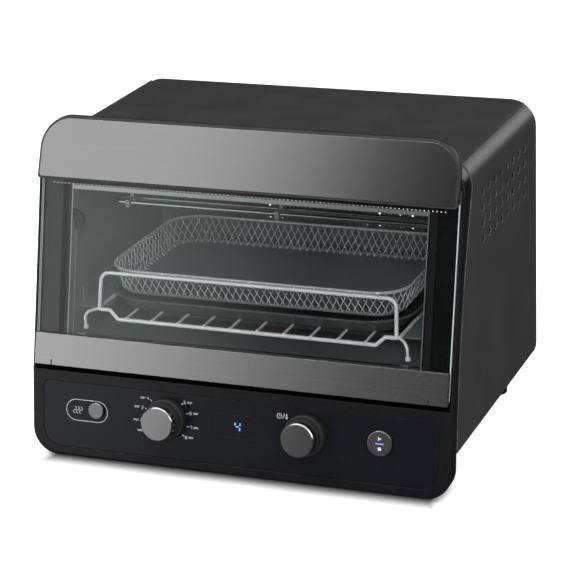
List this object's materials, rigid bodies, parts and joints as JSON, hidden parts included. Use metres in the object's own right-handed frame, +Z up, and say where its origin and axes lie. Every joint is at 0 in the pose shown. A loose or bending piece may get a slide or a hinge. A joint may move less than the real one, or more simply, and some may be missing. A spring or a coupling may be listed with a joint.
{
  "type": "toaster oven",
  "caption": "Countertop convection toaster oven with a leaning drop-down glass door, metal handle plate, two knobs, push buttons, vented sides, wire rack, pan and mesh basket",
  "frame": {"origin": "centre of the footprint on the worktop plane, under the middle of the bounding box", "axes": "X to the right seen from the front, Y from the door to the rear panel, Z up"},
  "size_m": [0.428, 0.32, 0.3274],
  "materials": {
    "fascia_plastic": "satin moulded plastic",
    "panel_gloss": "smooth gloss control panel",
    "display_lens": "clear dark lens",
    "circuit_board": "green board laminate",
    "component_black": "moulded component bodies",
    "knob_rubber": "soft-touch black",
    "knob_metal": "spun aluminium face",
    "shaft_steel": "plain steel",
    "button_metal": "satin metal-look cap",
    "casing_paint": "satin dark grey paint",
    "zinc_steel": "zinc-plated steel",
    "bush_plastic": "black nylon",
    "foot_rubber": "moulded rubber",
    "liner_steel": "coated sheet steel",
    "flange_steel": "bright sheet steel",
    "element_steel": "heat-tinted steel tube",
    "element_ceramic": "unglazed steatite",
    "door_glass": "clear tempered glass with dark printed border",
    "brushed_front": "brushed along the width",
    "handle_plastic": "heat-resistant black plastic",
    "seal_rubber": "silicone gasket",
    "rack_chrome": "chrome-plated wire",
    "pan_enamel": "dark non-stick coating",
    "basket_steel": "plain steel wire"
  },
  "bodies": {
    "casing": {"front_frame": "fascia_plastic", "control_panel": "panel_gloss", "display_lens": "display_lens", "display_module": "component_black", "control_board": "circuit_board", "rotary_encoders": "component_black", "button_switches": "component_black", "side_panel_left": "casing_paint", "side_panel_right": "casing_paint", "top_panel": "casing_paint", "rear_panel": "casing_paint", "rear_screws": "zinc_steel", "cord_gland": "bush_plastic", "base_pan": "zinc_steel", "feet": "foot_rubber", "foot_screws": "zinc_steel", "cavity_flange": "flange_steel", "cavity_wall_left": "liner_steel", "cavity_wall_right": "liner_steel", "cavity_ceiling": "liner_steel", "cavity_floor": "liner_steel", "cavity_back": "liner_steel", "crumb_tray": "liner_steel", "rack_guide_left": "liner_steel", "rack_guide_right": "liner_steel", "upper_element": "element_steel", "lower_element": "element_steel", "element_clips": "flange_steel", "element_terminals": "element_ceramic", "temperature_probe": "shaft_steel", "fan_motor": "zinc_steel", "power_board": "circuit_board", "hinge_brackets": "zinc_steel", "hinge_pins": "shaft_steel", "door_switch_body": "component_black"},
    "door": {"door_glass": "door_glass", "door_screws": "zinc_steel", "door_strip": "brushed_front", "door_lower_rail": "zinc_steel", "door_seal": "seal_rubber", "handle_body": "handle_plastic", "handle_plate": "brushed_front", "hinge_arm_left": "zinc_steel", "hinge_arm_right": "zinc_steel"},
    "rack": {"wire_rack": "rack_chrome", "baking_pan": "pan_enamel", "basket_mesh": "basket_steel", "basket_rim": "basket_steel"},
    "function_knob": {"function_knob_skirt": "knob_rubber", "function_knob_cap": "knob_metal", "function_knob_shaft": "shaft_steel"},
    "time_knob": {"time_knob_skirt": "knob_rubber", "time_knob_cap": "knob_metal", "time_knob_shaft": "shaft_steel"},
    "steam_button": {"steam_button": "button_metal"},
    "start_button": {"start_button": "button_metal"},
    "fan": {"convection_fan": "shaft_steel"},
    "switch_plunger": {"door_switch_plunger": "bush_plastic"}
  },
  "joints": [
    {"name": "door_hinge", "type": "hinge", "parent": "casing", "child": "door", "pos_m": [0, -0.11603, 0.102], "axis": [1, 0, 0], "range_deg": [0, 100]},
    {"name": "rack_slide", "type": "slide", "parent": "casing", "child": "rack", "axis": [0, -1, 0], "range_m": [0, 0.044]},
    {"name": "switch_plunger_slide", "type": "slide", "parent": "casing", "child": "switch_plunger", "axis": [0, -1, 0], "range_m": [0, 0.003]},
    {"name": "function_knob_turn", "type": "hinge", "parent": "casing", "child": "function_knob", "pos_m": [-0.071, -0.134, 0.05149], "axis": [0, -0.9897, 0.1435], "range_deg": [-130, 130]},
    {"name": "time_knob_turn", "type": "hinge", "parent": "casing", "child": "time_knob", "pos_m": [0.071, -0.134, 0.05149], "axis": [0, -0.9897, 0.1435], "continuous": true},
    {"name": "steam_button_press", "type": "slide", "parent": "casing", "child": "steam_button", "axis": [0, 0.9897, -0.1435], "range_m": [0, 0.0012], "stiffness_N_per_m": 800},
    {"name": "start_button_press", "type": "slide", "parent": "casing", "child": "start_button", "axis": [0, 0.9897, -0.1435], "range_m": [0, 0.0012], "stiffness_N_per_m": 800},
    {"name": "fan_spin", "type": "hinge", "parent": "casing", "child": "fan", "pos_m": [0, 0.12397, 0.206], "axis": [0, 1, 0], "continuous": true}
  ],
  "couplings": [
    {"joint": "rack_slide", "follows": "door_hinge", "m_per_rad": 0.025},
    {"joint": "switch_plunger_slide", "follows": "door_hinge", "m_per_rad": 0.0017}
  ]
}
